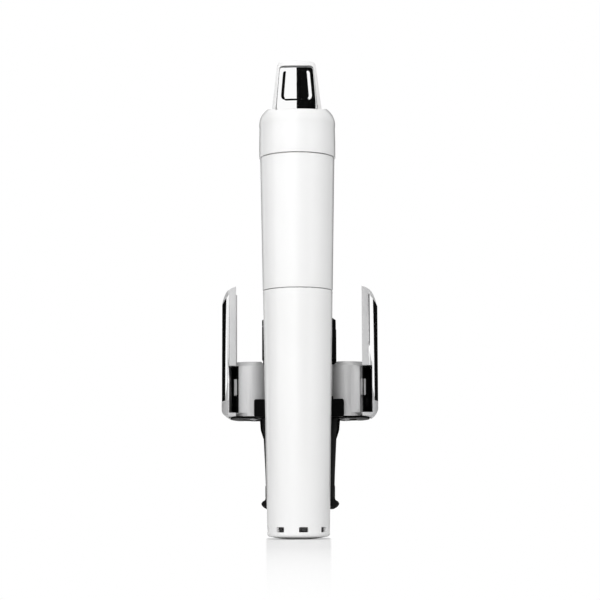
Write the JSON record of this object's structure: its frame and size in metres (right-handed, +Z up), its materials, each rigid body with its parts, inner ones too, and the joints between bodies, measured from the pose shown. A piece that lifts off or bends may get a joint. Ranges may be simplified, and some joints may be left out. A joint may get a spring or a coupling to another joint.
{
  "type": "wine preservation dispenser",
  "caption": "Handheld needle dispenser: gas capsule handle with trigger and spout, sliding on a rail through a spring clamp with squeeze ears that grips a bottle neck.",
  "frame": {"origin": "centre of the underside of the capsule cup, on the cup's axis", "axes": "+Z up along the cup and handle, +Y from the cup to the bottle neck and the spout"},
  "size_m": [0.0744, 0.0844, 0.218],
  "materials": {
    "white_gloss": "glossy white moulded plastic",
    "chrome": "polished chrome plate",
    "satin_silver": "satin silver finish",
    "black_gloss": "glossy black plastic",
    "black_satin": "satin black moulded plastic",
    "rubber_black": "soft black rubber",
    "steel": "bright stainless steel",
    "machined_aluminium": "machined",
    "brass": "machined brass",
    "capsule_steel": "drawn steel gas capsule"
  },
  "bodies": {
    "clamp_base": {"base_housing": "black_satin", "top_bumper": "black_satin", "needle_guide": "steel", "mouth_pad": "rubber_black", "base_front_cover": "satin_silver", "rail_brake": "black_satin", "brake_leaf": "steel", "pivot_pins": "steel", "left_spring": "steel", "right_spring": "steel", "base_screws": "steel"},
    "left_clamp": {"left_arm": "satin_silver", "left_ear_face": "chrome", "left_arm_inlay": "black_gloss", "left_leg": "black_satin", "left_neck_pad": "rubber_black", "left_leg_screws": "steel"},
    "right_clamp": {"right_arm": "satin_silver", "right_ear_face": "chrome", "right_arm_inlay": "black_gloss", "right_leg": "black_satin", "right_neck_pad": "rubber_black", "right_leg_screws": "steel"},
    "head": {"top_cap": "white_gloss", "handle_shell": "white_gloss", "front_shell": "white_gloss", "trigger_pin": "steel", "valve_body": "brass", "valve_spring": "steel", "valve_screws": "steel", "regulator_body": "machined_aluminium", "regulator_cap": "brass", "regulator_spring": "steel", "pierce_pin": "steel", "capsule_seal": "rubber_black", "gas_tube": "steel", "transfer_tube": "steel", "wine_tube": "steel", "needle_block": "black_satin", "needle_hub": "chrome", "needle": "steel", "needle_o_ring": "rubber_black", "spout_tube": "chrome", "spout_sleeve": "black_satin", "rail": "black_satin", "rail_stop": "black_satin", "rail_screws": "steel", "stop_screws": "steel", "block_screws": "steel"},
    "trigger_lever": {"trigger": "chrome", "trigger_pad": "chrome"},
    "valve_spindle": {"valve_stem": "steel", "stem_o_ring": "rubber_black"},
    "pressure_piston": {"regulator_piston": "brass", "piston_o_ring": "rubber_black"},
    "cup_and_capsule": {"capsule_cup": "white_gloss", "capsule": "capsule_steel"}
  },
  "joints": [
    {"name": "head_slide", "type": "slide", "parent": "clamp_base", "child": "head", "axis": [0, 0, 1], "range_m": [0, 0.062]},
    {"name": "left_clamp_hinge", "type": "hinge", "parent": "clamp_base", "child": "left_clamp", "pos_m": [-0.0178, 0.038, 0.061], "axis": [0, 1, 0], "range_deg": [0, 8], "stiffness_Nm_per_rad": 1.5, "springref_deg": -14.32},
    {"name": "right_clamp_hinge", "type": "hinge", "parent": "clamp_base", "child": "right_clamp", "pos_m": [0.0178, 0.038, 0.061], "axis": [0, -1, 0], "range_deg": [0, 8], "stiffness_Nm_per_rad": 1.5, "springref_deg": -14.32},
    {"name": "trigger_hinge", "type": "hinge", "parent": "head", "child": "trigger_lever", "pos_m": [0, -0.006, 0.19], "axis": [-1, 0, 0], "range_deg": [0, 8], "stiffness_Nm_per_rad": 0.3, "springref_deg": -11.46},
    {"name": "valve_stem_slide", "type": "slide", "parent": "head", "child": "valve_spindle", "axis": [0, 0, -1], "range_m": [0, 0.00101], "deforming": ["valve_spring"]},
    {"name": "pressure_piston_slide", "type": "slide", "parent": "head", "child": "pressure_piston", "axis": [0, 0, 1], "range_m": [0, 0.001], "stiffness_N_per_m": 500, "springref_m": -0.004, "deforming": ["regulator_spring"]},
    {"name": "capsule_cup_slide", "type": "slide", "parent": "head", "child": "cup_and_capsule", "axis": [0, 0, -1], "range_m": [0, 0.12]}
  ],
  "couplings": [
    {"joint": "valve_stem_slide", "follows": "trigger_hinge", "m_per_rad": 0.0072}
  ]
}
